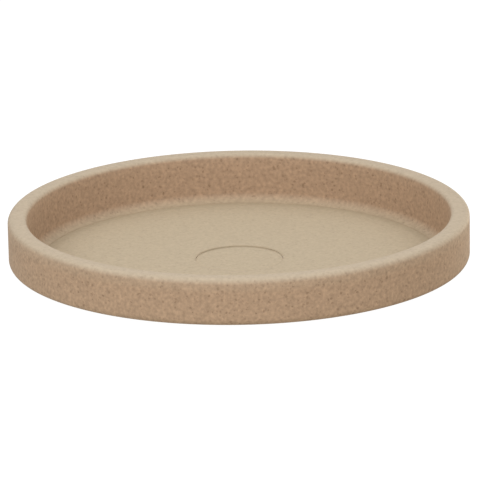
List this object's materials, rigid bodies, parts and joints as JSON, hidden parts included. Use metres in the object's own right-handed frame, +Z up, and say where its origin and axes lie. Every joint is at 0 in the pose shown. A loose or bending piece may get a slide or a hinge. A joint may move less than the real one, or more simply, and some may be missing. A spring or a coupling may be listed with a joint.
{
  "type": "plant saucer",
  "caption": "Round shallow plant saucer with a broad flat hollow rim, a lift-out drain plug in its floor and rubber foot pads.",
  "frame": {"origin": "on the saucer's axis, in the plane that its foot pads stand on", "axes": "+Z up along the axis, out of the dish's mouth; +X through the middle of foot_pad_1"},
  "size_m": [0.3, 0.3, 0.0364],
  "materials": {
    "stone_composite": "matte",
    "gasket_rubber": "matte",
    "pad_rubber": "matte"
  },
  "bodies": {
    "dish": {"saucer_dish": "stone_composite", "foot_pad_1": "pad_rubber", "foot_pad_2": "pad_rubber", "foot_pad_3": "pad_rubber", "foot_pad_4": "pad_rubber", "foot_pad_5": "pad_rubber", "foot_pad_6": "pad_rubber"},
    "plug": {"drain_plug": "stone_composite", "plug_gasket": "gasket_rubber"}
  },
  "joints": [
    {"name": "plug_lift", "type": "slide", "parent": "dish", "child": "plug", "axis": [0, 0, 1], "range_m": [0, 0.05]}
  ]
}
